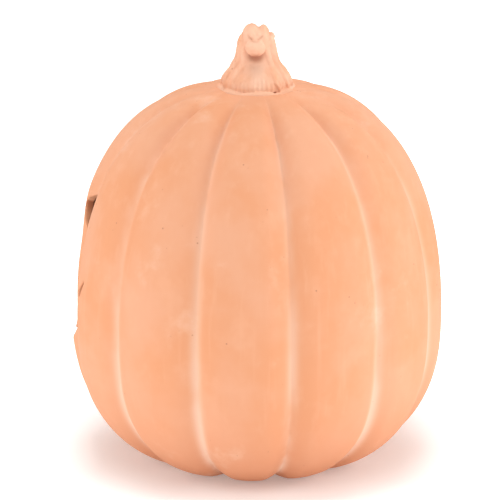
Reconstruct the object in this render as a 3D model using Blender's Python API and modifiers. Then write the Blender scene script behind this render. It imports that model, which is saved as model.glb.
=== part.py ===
"""Terracotta jack-o'-lantern standing over its battery tealight.

Metres, +Z up, the face looks along -Y. The origin is on the table, under the middle of the pumpkin.
"""

import math

import bmesh
import bpy
from mathutils import Matrix, Vector

MM = 0.001
GAP = 0.3 * MM                      # clearance between pieces that touch

# ---- pumpkin: driving dimensions ------------------------------------------------------------------------
BODY_RADIUS = 127.5 * MM            # over the ribs, at the widest
OVERALL_HEIGHT = 300 * MM           # table to the top of the stem
WIDEST_HEIGHT = 0.825 * BODY_RADIUS
CROWN_RISE = 1.20 * BODY_RADIUS     # widest level to the crown
BELLY_DROP = 0.895 * BODY_RADIUS    # widest level to where the belly would close, under the table
CROWN_POWERS = (3.0, 2.0)           # (radius, height) powers of the rounded profile above the widest level
BELLY_POWERS = (2.6, 2.6)
RIBS = 12
GROOVE_DEPTH = 0.045                # as a fraction of the distance from the pumpkin's middle
GROOVE_SHARE = 0.55                 # part of the depth in the narrow groove, the rest in the rib's crown
GROOVE_HALF_WIDTH = math.radians(5)
WALL = 6 * MM
BASE_LATITUDE = math.radians(70)    # the belly is left open below this, and the table trims its lip

# ---- face: angles from the front in degrees, heights in body radii --------------------------------------
FACE_HALF_ANGLE = 33
FACE_HOLLOW = 0.034                 # how far the cheeks lie inside the round of the ribs
EYE = ((33, 1.205), (33, 1.375), (33, 1.50), (25, 1.447), (16.5, 1.39), (25, 1.295))
NOSE = ((-7, 1.05), (-2, 1.05), (2, 1.05), (7, 1.05), (3.8, 1.125), (0.6, 1.20), (-0.6, 1.20),
        (-3.8, 1.125))
MOUTH_HALF_ANGLE = 42
MOUTH_CORNER = 1.057                # a short blunt end, with the lips MOUTH_BLUNT above and below it
MOUTH_BLUNT = 0.008
MOUTH_UPPER = 0.722                 # height of the upper lip at the middle
MOUTH_LOWER = 0.50
UPPER_TEETH = ((-17, -9), (9, 17))
LOWER_TEETH = ((-4.5, 4.5),)
TOOTH_LENGTH = 0.10

# ---- stem -----------------------------------------------------------------------------------------------
STEM_RIDGES = 5
STEM_BEND_AZIMUTH = math.radians(109)   # the cut end leans to the pumpkin's left side
STEM_FOOT = WIDEST_HEIGHT + CROWN_RISE + 0.4 * MM
# (distance towards the bend, height over the foot, radius): a thick skirt, a column and a leaning cut end
STEM_COURSE = ((0, 0, 24.5), (0, 1.2, 24.6), (0, 4.2, 24.2), (-0.2, 7, 21.4), (-0.6, 10.5, 18.2),
               (-1.1, 14, 16.2), (-1.3, 18, 14.8), (-0.8, 22.5, 14.0), (1.1, 26.6, 13.4), (4.0, 29.8, 12.6),
               (7.0, 31.9, 11.6), (10.1, 33.5, 10.4), (11.6, 34.3, 8.6))

# ---- tealight: driving dimensions -----------------------------------------------------------------------
CUP_RADIUS = 19 * MM
CUP_HEIGHT = 17.5 * MM
CUP_WALL = 1.2 * MM
COLLAR_HOLE = 5.0 * MM              # hole in the cup's top for the flame
PLATE_LOW, PLATE_HIGH = 1.2 * MM, 2.7 * MM
CELL_CENTRE = Vector((-3 * MM, 0, 0))
CELL_RADIUS, CELL_HEIGHT = 10 * MM, 3.2 * MM
DOOR_FLOOR = 2.4 * MM               # inside of the door, which the cell lies over
CELL_TOP = DOOR_FLOOR + GAP + CELL_HEIGHT
DOOR_RADIUS = 11.2 * MM
LUG_REACH = 12.6 * MM
LUG_HALF_ANGLE = math.radians(11)
DOOR_TWIST = math.radians(40)
SWITCH_CENTRE = Vector((12.6 * MM, -1.5 * MM, 0))
SWITCH_TRAVEL = 3 * MM
FLAME_TOP = 42 * MM
LED_FOOT = 13.5 * MM


# ---- scene ----------------------------------------------------------------------------------------------
for leftover in list(bpy.data.objects):
    bpy.data.objects.remove(leftover, do_unlink=True)


def new_collection(name):
    collection = bpy.data.collections.new(name)
    bpy.context.scene.collection.children.link(collection)
    return collection


PARTS = new_collection("pumpkin_lantern")
CUTTERS = new_collection("cutters")


def material(name, colour, roughness, metallic=0.0):
    made = bpy.data.materials.new(name)
    made.use_nodes = True
    shader = made.node_tree.nodes["Principled BSDF"]
    shader.inputs["Base Color"].default_value = (*colour, 1)
    shader.inputs["Roughness"].default_value = roughness
    shader.inputs["Metallic"].default_value = metallic
    made.diffuse_color = (*colour, 1)
    return made


TERRACOTTA = material("terracotta", (0.84, 0.42, 0.25), 0.9)
WHITE_PLASTIC = material("white_plastic", (0.85, 0.84, 0.80), 0.4)
FLAME_PLASTIC = material("flame_plastic", (0.95, 0.78, 0.45), 0.35)
BLACK_PLASTIC = material("black_plastic", (0.03, 0.03, 0.03), 0.5)
LED_EPOXY = material("led_epoxy", (0.95, 0.75, 0.35), 0.1)
STEEL = material("nickel_plated_steel", (0.65, 0.64, 0.61), 0.3, 1.0)


# ---- modelling helpers ----------------------------------------------------------------------------------
def add_object(name, mesh, finish, collection=PARTS):
    piece = bpy.data.objects.new(name, mesh)
    collection.objects.link(piece)
    if finish:
        mesh.materials.append(finish)
    if collection is CUTTERS:
        piece.hide_render = True
        piece.display_type = 'WIRE'
    return piece


def mesh_from(work, name, smooth_angle=30):
    """The finished mesh, with its faces pointing out."""
    bmesh.ops.recalc_face_normals(work, faces=work.faces)
    if work.calc_volume(signed=True) < 0:
        bmesh.ops.reverse_faces(work, faces=work.faces)
    mesh = bpy.data.meshes.new(name)
    work.to_mesh(mesh)
    work.free()
    mesh.shade_smooth()
    mesh.set_sharp_from_angle(angle=math.radians(smooth_angle))
    return mesh


def cylinder(name, radius, low, high, finish=None, centre=(0, 0), sides=40, collection=PARTS):
    work = bmesh.new()
    place = Matrix.Translation((centre[0], centre[1], (low + high) / 2))
    bmesh.ops.create_cone(work, cap_ends=True, segments=sides, radius1=radius, radius2=radius,
                          depth=high - low, matrix=place)
    return add_object(name, mesh_from(work, name), finish, collection)


def box(name, low, high, finish=None, collection=PARTS, turn=0.0, about=(0, 0, 0)):
    low, high, about = Vector(low), Vector(high), Vector(about)
    size = high - low
    work = bmesh.new()
    bmesh.ops.create_cube(work, size=1, matrix=Matrix.Translation((low + high) / 2)
                          @ Matrix.Diagonal((*size, 1)))
    spin = Matrix.Translation(about) @ Matrix.Rotation(turn, 4, 'Z') @ Matrix.Translation(-about)
    bmesh.ops.transform(work, matrix=spin, verts=work.verts)
    return add_object(name, mesh_from(work, name), finish, collection)


def turned(name, profile, finish, steps=32, centre=(0, 0)):
    """A profile of (radius, height) down its outer side and up its inner side, turned about Z."""
    mesh = bpy.data.meshes.new(name)
    mesh.from_pydata([(r, 0, z) for r, z in profile], [(i, i + 1) for i in range(len(profile) - 1)], [])
    if profile[0][0] > 0:
        last = len(profile) - 1
        mesh.edges.add(1)
        mesh.edges[-1].vertices = (last, 0)
    piece = add_object(name, mesh, finish)
    screw = piece.modifiers.new("turn", 'SCREW')
    screw.steps = screw.render_steps = steps
    screw.use_merge_vertices = True
    screw.merge_threshold = 0.00001
    screw.use_smooth_shade = True
    piece.location = (*centre, 0)
    return piece


def boolean(piece, other, operation):
    step = piece.modifiers.new(other.name, 'BOOLEAN')
    step.operation = operation
    step.object = other
    return piece


def rod(name, points, radius, finish):
    """A round wire through the points."""
    curve = bpy.data.curves.new(name, 'CURVE')
    curve.dimensions = '3D'
    curve.bevel_depth = radius
    curve.bevel_resolution = 1
    curve.use_fill_caps = True
    spline = curve.splines.new('POLY')
    spline.points.add(len(points) - 1)
    for point, place in zip(spline.points, points):
        point.co = (*place, 1)
    curve.materials.append(finish)
    piece = bpy.data.objects.new(name, curve)
    PARTS.objects.link(piece)
    return piece


def smoothstep(low, high, value):
    t = min(1, max(0, (value - low) / (high - low)))
    return t * t * (3 - 2 * t)


# ---- pumpkin shell --------------------------------------------------------------------------------------
def groove_shape(angle):
    """1 on a groove's line and 0 on a rib's crown: a narrow vee on top of the rib's own round."""
    pitch = 2 * math.pi / RIBS
    off = abs((angle + pitch / 2) % pitch - pitch / 2)
    vee = max(0, 1 - off / GROOVE_HALF_WIDTH)
    crown = (1 - off / (pitch / 2)) ** 2
    return GROOVE_SHARE * vee + (1 - GROOVE_SHARE) * crown


def lip_height(turn, middle, corner):
    """A lip is a parabola over the turn from the front."""
    return middle + (corner - middle) * (turn / MOUTH_HALF_ANGLE) ** 2


def face_hollow(angle, height):
    """How far the cheeks between eyes and mouth lie inside the round of the ribs, in body radii."""
    turn = math.degrees(abs(math.remainder(angle + math.pi / 2, 2 * math.pi)))
    across = 1 - smoothstep(FACE_HALF_ANGLE - 9, FACE_HALF_ANGLE - 1, turn)
    level = height / BODY_RADIUS
    lower, upper = (lip_height(turn, middle, MOUTH_CORNER) for middle in (MOUTH_LOWER, MOUTH_UPPER))
    down = smoothstep(lower, upper, level) * (1 - smoothstep(1.15, 1.5, level))
    return FACE_HOLLOW * across * down


def body_point(latitude, angle):
    """A point of the pumpkin's outside, for a latitude from -90 to 90 degrees and an angle about Z."""
    up = latitude >= 0
    radius_power, height_power = CROWN_POWERS if up else BELLY_POWERS
    reach = max(0, math.cos(latitude)) ** (2 / radius_power)
    rise = abs(math.sin(latitude)) ** (2 / height_power) * (CROWN_RISE if up else -BELLY_DROP)
    fade = smoothstep(0.15, 0.62, reach) if up else min(1, reach / 0.5)
    squeeze = 1 - GROOVE_DEPTH * fade * groove_shape(angle)
    height = WIDEST_HEIGHT + rise * squeeze
    radius = BODY_RADIUS * (reach * squeeze - face_hollow(angle, height))
    return Vector((radius * math.cos(angle), radius * math.sin(angle), height))


def rib_angle(angle):
    """Moves evenly spaced angles so that each groove's shoulders get an edge."""
    pitch = 2 * math.pi / RIBS
    within = (angle % pitch) / pitch
    shoulder = GROOVE_HALF_WIDTH / pitch
    knots = ((0, 0), (1 / 6, shoulder), (1 / 2, 1 / 2), (5 / 6, 1 - shoulder), (1, 1))
    for (x0, y0), (x1, y1) in zip(knots, knots[1:]):
        if within <= x1 + 1e-6:
            return (angle // pitch + y0 + (y1 - y0) * (within - x0) / (x1 - x0)) * pitch
    return angle


def shell_surface():
    """The ribbed outside as one open sheet, with its bottom left off."""
    work = bmesh.new()
    rows = 20
    bmesh.ops.create_uvsphere(work, u_segments=6 * RIBS, v_segments=rows, radius=1)
    lowest_kept = math.pi / 2 - 2 * math.pi / rows
    for vertex in list(work.verts):
        latitude = math.asin(max(-1, min(1, vertex.co.z)))
        if latitude < -lowest_kept - 0.01:
            work.verts.remove(vertex)
            continue
        if latitude < 0:
            latitude *= BASE_LATITUDE / lowest_kept
        angle = math.atan2(vertex.co.y, vertex.co.x) + 1e-7
        vertex.co = body_point(latitude, rib_angle(angle))
    return mesh_from(work, "pumpkin_shell")


def face_cutter(name, outline):
    """A prism over the outline's (degrees from the front, body radii) points, bent round the pumpkin."""
    near, far, slice_width = 0.7 * BODY_RADIUS, 1.15 * BODY_RADIUS, 2
    work = bmesh.new()
    back = work.faces.new([work.verts.new((turn, near, level)) for turn, level in outline])
    front = bmesh.ops.extrude_face_region(work, geom=[back], use_keep_orig=True)["geom"]
    for vertex in front:
        if isinstance(vertex, bmesh.types.BMVert):
            vertex.co.y = far
    for step in range(MOUTH_HALF_ANGLE):
        turn = 0.9 - MOUTH_HALF_ANGLE + step * slice_width
        bmesh.ops.bisect_plane(work, geom=work.verts[:] + work.edges[:] + work.faces[:],
                               plane_co=(turn, 0, 0), plane_no=(1, 0, 0))
    bmesh.ops.triangulate(work, faces=work.faces)
    for vertex in work.verts:
        turn, radius, level = vertex.co
        vertex.co = (radius * math.sin(math.radians(turn)), -radius * math.cos(math.radians(turn)),
                     level * BODY_RADIUS)
    return add_object(name, mesh_from(work, name), None, CUTTERS)


def lip(middle, corner, teeth, tooth_rise):
    """One lip from corner to corner, with square teeth standing tooth_rise into the mouth."""
    points = []
    edges = {edge for tooth in teeth for edge in tooth}
    for turn in sorted({*(step * 6.5 - 39 for step in range(13)), *edges}):
        height = lip_height(turn, middle, corner)
        rise = tooth_rise if any(start < turn < end for start, end in teeth) else 0
        if turn in edges:
            sides = [height, height + tooth_rise]
            opens = any(turn == start for start, _ in teeth)
            points += [(turn, level) for level in (sides if opens else sides[::-1])]
        else:
            points.append((turn, height + rise))
    return [(-MOUTH_HALF_ANGLE, corner), *points, (MOUTH_HALF_ANGLE, corner)]


def mouth_outline():
    upper = lip(MOUTH_UPPER, MOUTH_CORNER + MOUTH_BLUNT, UPPER_TEETH, -TOOTH_LENGTH)
    lower = lip(MOUTH_LOWER, MOUTH_CORNER - MOUTH_BLUNT, LOWER_TEETH, TOOTH_LENGTH)
    return upper + lower[::-1]


def make_shell():
    shell = add_object("pumpkin_shell", shell_surface(), TERRACOTTA)
    wall = shell.modifiers.new("wall", 'SOLIDIFY')
    wall.thickness = WALL
    wall.offset = -1
    reach = 2 * BODY_RADIUS
    table = box("table_cut", (-reach, -reach, -reach), (reach, reach, 0), collection=CUTTERS)
    boolean(shell, table, 'DIFFERENCE')
    mirrored_eye = tuple((-turn, level) for turn, level in EYE)
    for name, outline in (("left_eye_cut", EYE), ("right_eye_cut", mirrored_eye), ("nose_cut", NOSE),
                          ("mouth_cut", mouth_outline())):
        boolean(shell, face_cutter(name, outline), 'DIFFERENCE')
    return shell


# ---- stem -----------------------------------------------------------------------------------------------
def make_stem():
    """A five-ridged section carried along a course that rises from the crown and leans to one side."""
    section = bpy.data.curves.new("stem_section", 'CURVE')
    section.dimensions = '2D'
    outline = section.splines.new('POLY')
    count = 6 * STEM_RIDGES
    outline.points.add(count - 1)
    for i, point in enumerate(outline.points):
        angle = 2 * math.pi * i / count
        radius = 1 - 0.1 * (1 - math.cos(STEM_RIDGES * angle)) / 2
        point.co = (radius * math.cos(angle), radius * math.sin(angle), 0, 1)
    outline.use_cyclic_u = True
    section_object = bpy.data.objects.new("stem_section", section)
    CUTTERS.objects.link(section_object)

    curve = bpy.data.curves.new("stem_course", 'CURVE')
    curve.dimensions = '3D'
    curve.bevel_mode = 'OBJECT'
    curve.bevel_object = section_object
    curve.use_fill_caps = True
    spline = curve.splines.new('POLY')
    spline.points.add(len(STEM_COURSE) - 1)
    bend = Vector((math.sin(STEM_BEND_AZIMUTH), -math.cos(STEM_BEND_AZIMUTH), 0))
    for point, (out, up, radius) in zip(spline.points, STEM_COURSE):
        point.co = (*(bend * out * MM + Vector((0, 0, up * MM))), 1)
        point.radius = radius * MM
    course_object = bpy.data.objects.new("stem_course", curve)
    CUTTERS.objects.link(course_object)

    bpy.context.view_layer.update()
    evaluated = course_object.evaluated_get(bpy.context.evaluated_depsgraph_get())
    work = bmesh.new()
    work.from_mesh(bpy.data.meshes.new_from_object(evaluated))
    bmesh.ops.remove_doubles(work, verts=work.verts, dist=0.00002)
    for helper in (course_object, section_object):
        bpy.data.objects.remove(helper, do_unlink=True)
    stretch = (OVERALL_HEIGHT - STEM_FOOT) / max(vertex.co.z for vertex in work.verts)
    for vertex in work.verts:
        vertex.co.z = STEM_FOOT + vertex.co.z * stretch
    return add_object("stem", mesh_from(work, "stem", 40), TERRACOTTA)


# ---- tealight -------------------------------------------------------------------------------------------
def make_cup():
    """White cup, open underneath, with a dished top and a collar round the flame's hole."""
    inner = CUP_RADIUS - CUP_WALL
    rim, dish, collar = CUP_HEIGHT, CUP_HEIGHT - 2.2 * MM, CUP_HEIGHT - 1.2 * MM
    soffit = dish - CUP_WALL
    return turned("tealight_housing", (
        (COLLAR_HOLE, collar), (COLLAR_HOLE + 1.4 * MM, collar), (COLLAR_HOLE + 2.2 * MM, dish),
        (inner - 2 * MM, dish), (inner - 0.6 * MM, rim - 0.3 * MM), (inner + 0.2 * MM, rim),
        (CUP_RADIUS - 0.3 * MM, rim - 0.3 * MM), (CUP_RADIUS, rim - 1 * MM), (CUP_RADIUS, 0.4 * MM),
        (CUP_RADIUS - 0.4 * MM, 0), (inner, 0), (inner, soffit - 1 * MM), (inner - 1 * MM, soffit),
        (COLLAR_HOLE, soffit)), WHITE_PLASTIC, steps=40)


def make_plate():
    """Plate that closes the cup, with the door's opening, the lugs' notches and the switch slot."""
    plate = cylinder("base_plate", CUP_RADIUS - CUP_WALL - GAP, PLATE_LOW, PLATE_HIGH, WHITE_PLASTIC)
    centre = CELL_CENTRE.xy
    hole = cylinder("door_hole_cut", DOOR_RADIUS + GAP, -MM, 6 * MM, centre=centre, collection=CUTTERS)
    boolean(plate, hole, 'DIFFERENCE')
    half = (LUG_REACH + GAP) * math.sin(LUG_HALF_ANGLE) + 2 * GAP
    for number, at in enumerate((math.pi / 2, -math.pi / 2)):
        turn = at - DOOR_TWIST
        notch = box(f"notch_cut_{number}", CELL_CENTRE + Vector((0, -half, -MM)),
                    CELL_CENTRE + Vector((LUG_REACH + 2 * GAP, half, 6 * MM)),
                    collection=CUTTERS, turn=turn, about=CELL_CENTRE)
        boolean(plate, notch, 'DIFFERENCE')
    slot_low = SWITCH_CENTRE - Vector((1.3 * MM + GAP, 2.2 * MM + GAP, MM))
    slot_high = SWITCH_CENTRE + Vector((1.3 * MM + GAP, 2.2 * MM + GAP + SWITCH_TRAVEL, 6 * MM))
    boolean(plate, box("switch_slot_cut", slot_low, slot_high, collection=CUTTERS), 'DIFFERENCE')
    return plate


def make_door():
    """Round door with a coin slot outside, a low lip round the cell and two bayonet lugs over the plate."""
    centre = CELL_CENTRE.xy
    door = cylinder("battery_door", DOOR_RADIUS, 0.9 * MM, DOOR_FLOOR, WHITE_PLASTIC, centre)
    wall = cylinder("door_wall_join", DOOR_RADIUS - 0.1 * MM, DOOR_FLOOR - 0.5 * MM, 4.0 * MM,
                    centre=centre, collection=CUTTERS)
    boolean(door, wall, 'UNION')
    for number, at in enumerate((math.pi / 2, -math.pi / 2)):
        half = LUG_REACH * math.sin(LUG_HALF_ANGLE)
        lug = box(f"lug_join_{number}", CELL_CENTRE + Vector((8 * MM, -half, PLATE_HIGH + GAP)),
                  CELL_CENTRE + Vector((LUG_REACH, half, 3.9 * MM)),
                  collection=CUTTERS, turn=at, about=CELL_CENTRE)
        boolean(door, lug, 'UNION')
    pocket = cylinder("cell_pocket_cut", CELL_RADIUS + GAP, DOOR_FLOOR, 8 * MM,
                      centre=centre, collection=CUTTERS)
    boolean(door, pocket, 'DIFFERENCE')
    coin_slot = box("coin_slot_cut", CELL_CENTRE + Vector((-6 * MM, -0.9 * MM, -MM)),
                    CELL_CENTRE + Vector((6 * MM, 0.9 * MM, 1.6 * MM)), collection=CUTTERS)
    return boolean(door, coin_slot, 'DIFFERENCE')


def make_cell():
    """CR2032: the wide can below, the narrower negative face on top."""
    low, high = CELL_TOP - CELL_HEIGHT, CELL_TOP
    return turned("coin_cell", ((0, high), (8.6 * MM, high), (8.9 * MM, high - 0.5 * MM),
                                (9.6 * MM, high - 0.5 * MM), (CELL_RADIUS, high - 0.9 * MM),
                                (CELL_RADIUS, low + 0.3 * MM), (9.7 * MM, low), (0, low)),
                  STEEL, centre=CELL_CENTRE.xy)


def bent_strip(name, points, width, thickness, finish):
    """A flat sprung strip through (x, z) points, its width along Y."""
    mesh = bpy.data.meshes.new(name)
    half = width / 2
    corners = [(x, side * half, z) for x, z in points for side in (-1, 1)]
    faces = [(2 * i, 2 * i + 2, 2 * i + 3, 2 * i + 1) for i in range(len(points) - 1)]
    mesh.from_pydata(corners, [], faces)
    strip = add_object(name, mesh, finish)
    skin = strip.modifiers.new("sheet", 'SOLIDIFY')
    skin.thickness = thickness
    skin.offset = 0
    return strip


def make_contacts():
    top = CELL_TOP + GAP + 0.15 * MM
    bent_strip("negative_contact", [(-12.5 * MM, 10 * MM), (-12.5 * MM, 8.2 * MM), (-9.5 * MM, 7.4 * MM),
                                    (-3 * MM, top), (-1.2 * MM, top + 0.5 * MM)], 4 * MM, 0.3 * MM, STEEL)
    edge = CELL_CENTRE.x + CELL_RADIUS + GAP + 0.15 * MM
    bent_strip("positive_contact", [(edge + 0.2 * MM, 4.6 * MM), (edge, 5.2 * MM), (edge + 0.9 * MM, 7 * MM),
                                    (edge + 0.9 * MM, 10 * MM)], 4 * MM, 0.3 * MM, STEEL)


def make_led():
    """5 mm LED standing in the flame's tube, and its two legs bent out to the contacts."""
    radius, flange = 2.5 * MM, 2.9 * MM
    dome_low = LED_FOOT + 6.1 * MM
    dome = [(radius * math.sin(math.radians(a)), dome_low + radius * math.cos(math.radians(a)))
            for a in range(0, 91, 18)]
    turned("led_lamp", (*dome, (radius, LED_FOOT + MM), (flange, LED_FOOT + MM), (flange, LED_FOOT),
                        (0, LED_FOOT)), LED_EPOXY, steps=24)
    leg_top = LED_FOOT - GAP
    rod("cathode_lead", [(-1.27 * MM, 0, leg_top), (-1.27 * MM, 0, 12 * MM), (-2 * MM, 0, 11.3 * MM),
                         (-11.2 * MM, 0, 10.9 * MM), (-11.8 * MM, 0, 10.4 * MM), (-11.8 * MM, 0, 8.9 * MM)],
        0.25 * MM, STEEL)
    rod("anode_lead", [(1.27 * MM, 0, leg_top), (1.27 * MM, 0, 12 * MM), (2 * MM, 0, 11.3 * MM),
                       (8.4 * MM, 0, 11.0 * MM), (9 * MM, 0, 10.4 * MM), (9 * MM, 0, 7.6 * MM)],
        0.25 * MM, STEEL)


def make_flame():
    """Hollow flame: a tube that plugs into the cup's collar, and a teardrop over the LED."""
    tube, bore = COLLAR_HOLE - GAP, 3.4 * MM
    seat = CUP_HEIGHT - 1.2 * MM + GAP
    outside = ((0.6, FLAME_TOP), (1.3, 39.5 * MM), (2.6, 35 * MM), (4.3, 30.5 * MM), (5.7, 26.5 * MM),
               (6.3, 23 * MM), (6.0, 20 * MM), (5.6, seat))
    inside = ((3.4, 18 * MM), (4.6, 20.5 * MM), (4.9, 23 * MM), (4.3, 26.5 * MM), (2.9, 30.5 * MM),
              (1.0, 35 * MM))
    turned("flame_diffuser", ((0, FLAME_TOP + 0.4 * MM), *((r * MM, z) for r, z in outside), (tube, seat),
                              (tube, LED_FOOT + 0.8 * MM), (bore, LED_FOOT + 0.8 * MM),
                              *((r * MM, z) for r, z in inside), (0, 35.6 * MM)), FLAME_PLASTIC, steps=28)


def make_switch():
    """Knob in the plate's slot, with a foot over the plate and a grip rib underneath."""
    half_x, half_y = 1.3 * MM, 2.2 * MM
    centre = SWITCH_CENTRE
    knob = box("switch_knob", centre + Vector((-half_x, -half_y, 0.5 * MM)),
               centre + Vector((half_x, half_y, 4 * MM)), BLACK_PLASTIC)
    foot = box("switch_foot_join", centre + Vector((-half_x - MM, -half_y - MM, PLATE_HIGH + GAP)),
               centre + Vector((half_x + 0.8 * MM, half_y + MM, 4.4 * MM)), collection=CUTTERS)
    return boolean(knob, foot, 'UNION')


make_shell()
make_stem()
make_cup()
make_plate()
make_door()
make_cell()
make_contacts()
make_led()
make_flame()
make_switch()
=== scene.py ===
import math

import bmesh
import bpy
import numpy as np
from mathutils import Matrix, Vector, noise
from mathutils.geometry import delaunay_2d_cdt


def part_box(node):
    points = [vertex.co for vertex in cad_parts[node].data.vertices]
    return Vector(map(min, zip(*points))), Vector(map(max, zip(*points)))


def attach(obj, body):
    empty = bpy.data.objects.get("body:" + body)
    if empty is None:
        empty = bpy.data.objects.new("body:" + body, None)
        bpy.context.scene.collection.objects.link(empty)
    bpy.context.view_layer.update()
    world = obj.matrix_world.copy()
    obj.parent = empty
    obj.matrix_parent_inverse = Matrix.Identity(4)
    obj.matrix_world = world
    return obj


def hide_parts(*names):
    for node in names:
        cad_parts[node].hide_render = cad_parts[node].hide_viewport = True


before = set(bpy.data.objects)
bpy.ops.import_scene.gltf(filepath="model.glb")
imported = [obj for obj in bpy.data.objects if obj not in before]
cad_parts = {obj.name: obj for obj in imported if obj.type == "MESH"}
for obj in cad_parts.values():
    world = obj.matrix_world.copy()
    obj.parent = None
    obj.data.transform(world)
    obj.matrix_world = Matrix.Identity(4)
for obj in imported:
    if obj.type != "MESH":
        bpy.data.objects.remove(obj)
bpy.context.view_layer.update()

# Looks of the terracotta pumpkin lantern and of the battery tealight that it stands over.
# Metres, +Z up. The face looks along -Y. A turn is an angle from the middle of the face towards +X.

MM = 0.001

# ---- pumpkin body: the CAD's sizes, with a sharper crease in the grooves ---------------------------------
BODY_RADIUS = max(math.hypot(v.co.x, v.co.y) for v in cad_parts["pumpkin_shell"].data.vertices)
WIDEST_HEIGHT = 0.825 * BODY_RADIUS
CROWN_RISE = 1.20 * BODY_RADIUS
BELLY_DROP = 0.895 * BODY_RADIUS
CROWN_POWERS = (3.0, 2.0)
BELLY_POWERS = (2.6, 2.6)
RIBS = 12
RIB_PITCH = 2 * math.pi / RIBS
GROOVE_DEPTH = 0.045
GROOVE_SHARE = 0.60         # the crease's part of a groove's depth; the rest is the rib's round
GROOVE_SHARPNESS = 1.35
GROOVE_HALF_WIDTH = math.radians(7.5)
WALL = 6 * MM
BASE_LATITUDE = math.radians(-70)

# ---- face: degrees from the front, heights in body radii ------------------------------------------------
FACE_HALF_ANGLE = 33
FACE_HOLLOW = 0.034
EYE = ((33, 1.205), (33, 1.50), (16.5, 1.39))
NOSE = ((-7, 1.05), (7, 1.05), (0.6, 1.20), (-0.6, 1.20))
MOUTH_HALF_ANGLE = 42
MOUTH_CORNER = 1.057
MOUTH_BLUNT = 0.008
MOUTH_UPPER = 0.722
MOUTH_LOWER = 0.50
UPPER_TEETH = ((-17, -9), (9, 17))
LOWER_TEETH = ((-4.5, 4.5),)
TOOTH_LENGTH = 0.10

# ---- fine mesh of the shell -----------------------------------------------------------------------------
COLUMNS_PER_RIB = 24
COLUMNS = RIBS * COLUMNS_PER_RIB
ROW_STEP = 3.0 * MM
CROWDING = 0.6              # how much closer the columns stand at a groove
FACE_COLUMNS = 38           # columns each side of the front that the cut-outs may reach
FACE_LEVELS = (0.42, 1.60)  # heights in body radii that the cut-outs stay between
OUTLINE_STEP = 0.9 * MM
CORNER_ROUND = 0.8 * MM
EDGE_ROUND = 0.8 * MM       # how far the cut edges are sponged round
INNER_ROUND = 0.5 * MM
LIP_STEP = 1.5              # degrees between a lip's points
LIP_REACH = 39              # degrees to either side that they cover; the corners lie beyond
RINGS = (0.3 * MM, 0.65 * MM, 1.05 * MM, 1.5 * MM)
RING_CLEARANCE = 0.6 * MM
KNIFE_WOBBLE = 0.5 * MM
WALL_LAYERS = 5             # rows of faces through the wall at a cut edge
FOOT_ROUND = 0.6 * MM
LIME_SPREAD = 0.055         # rib pitches from a groove's line to where its lime is a third as strong


def smoothstep(low, high, value):
    t = np.clip((value - low) / (high - low), 0, 1)
    return t * t * (3 - 2 * t)


# ---- new pieces -----------------------------------------------------------------------------------------
def add_piece(name, mesh, body, slot, *replaced):
    piece = bpy.data.objects.new(name, mesh)
    bpy.context.scene.collection.objects.link(piece)
    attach(piece, body)
    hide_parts(*replaced)


def evaluated_mesh(piece):
    """The piece's mesh with its modifiers applied. The piece itself is removed."""
    bpy.context.view_layer.update()
    mesh = bpy.data.meshes.new_from_object(piece.evaluated_get(bpy.context.evaluated_depsgraph_get()))
    bpy.data.objects.remove(piece, do_unlink=True)
    return mesh


def scratch_object(name, data):
    helper = bpy.data.objects.new(name, data)
    bpy.context.scene.collection.objects.link(helper)
    return helper


# ---- pumpkin shell --------------------------------------------------------------------------------------
def groove_shape(turn):
    """1 on a groove's line and 0 on a rib's crown: steep sides that meet in a crease, with soft shoulders."""
    off = np.abs((turn + RIB_PITCH / 2) % RIB_PITCH - RIB_PITCH / 2)
    crease = np.clip(1 - off / GROOVE_HALF_WIDTH, 0, 1) ** GROOVE_SHARPNESS
    crown = (1 - off / (RIB_PITCH / 2)) ** 2
    return GROOVE_SHARE * crease + (1 - GROOVE_SHARE) * crown


def groove_fade(latitude):
    """How deep the grooves are at a latitude: none at the stem, full over the shoulder and belly."""
    cosine = np.clip(np.cos(latitude), 0, 1)
    over = smoothstep(0.15, 0.62, cosine ** (2 / CROWN_POWERS[0]))
    under = np.minimum(1, cosine ** (2 / BELLY_POWERS[0]) / 0.5)
    return np.where(latitude >= 0, over, under)


def lip_height(turn_degrees, middle, corner):
    """A lip is a parabola over the turn from the front."""
    return middle + (corner - middle) * (turn_degrees / MOUTH_HALF_ANGLE) ** 2


def face_hollow(turn, height):
    """How far the cheeks between eyes and mouth lie inside the round of the ribs, in body radii."""
    degrees = np.abs(np.degrees(turn))
    across = 1 - smoothstep(FACE_HALF_ANGLE - 9, FACE_HALF_ANGLE - 1, degrees)
    level = height / BODY_RADIUS
    lower, upper = (lip_height(degrees, middle, MOUTH_CORNER) for middle in (MOUTH_LOWER, MOUTH_UPPER))
    return FACE_HOLLOW * across * smoothstep(lower, upper, level) * (1 - smoothstep(1.15, 1.5, level))


def body_points(latitude, turn):
    """Points of the pumpkin's outside, for arrays of latitudes and turns in radians."""
    latitude, turn = np.broadcast_arrays(latitude, turn)
    turn = (turn + math.pi) % (2 * math.pi) - math.pi
    up = latitude >= 0
    cosine = np.clip(np.cos(latitude), 0, 1)
    sine = np.abs(np.sin(latitude))
    reach = np.where(up, cosine ** (2 / CROWN_POWERS[0]), cosine ** (2 / BELLY_POWERS[0]))
    rise = np.where(up, CROWN_RISE * sine ** (2 / CROWN_POWERS[1]),
                    -BELLY_DROP * sine ** (2 / BELLY_POWERS[1]))
    meander = math.radians(0.35) * np.sin(2.3 * latitude + 1.7 * np.round(turn / RIB_PITCH))
    squeeze = 1 - GROOVE_DEPTH * groove_fade(latitude) * groove_shape(turn + meander)
    height = WIDEST_HEIGHT + rise * squeeze
    pressed = 0.4 * MM * np.sin(3 * turn + 2 * latitude + 0.6) * np.sin(5 * latitude + 1.9 * turn)
    radius = BODY_RADIUS * (reach * squeeze - face_hollow(turn, height)) + pressed * reach
    return np.stack([radius * np.sin(turn), -radius * np.cos(turn), height], axis=-1)


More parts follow.
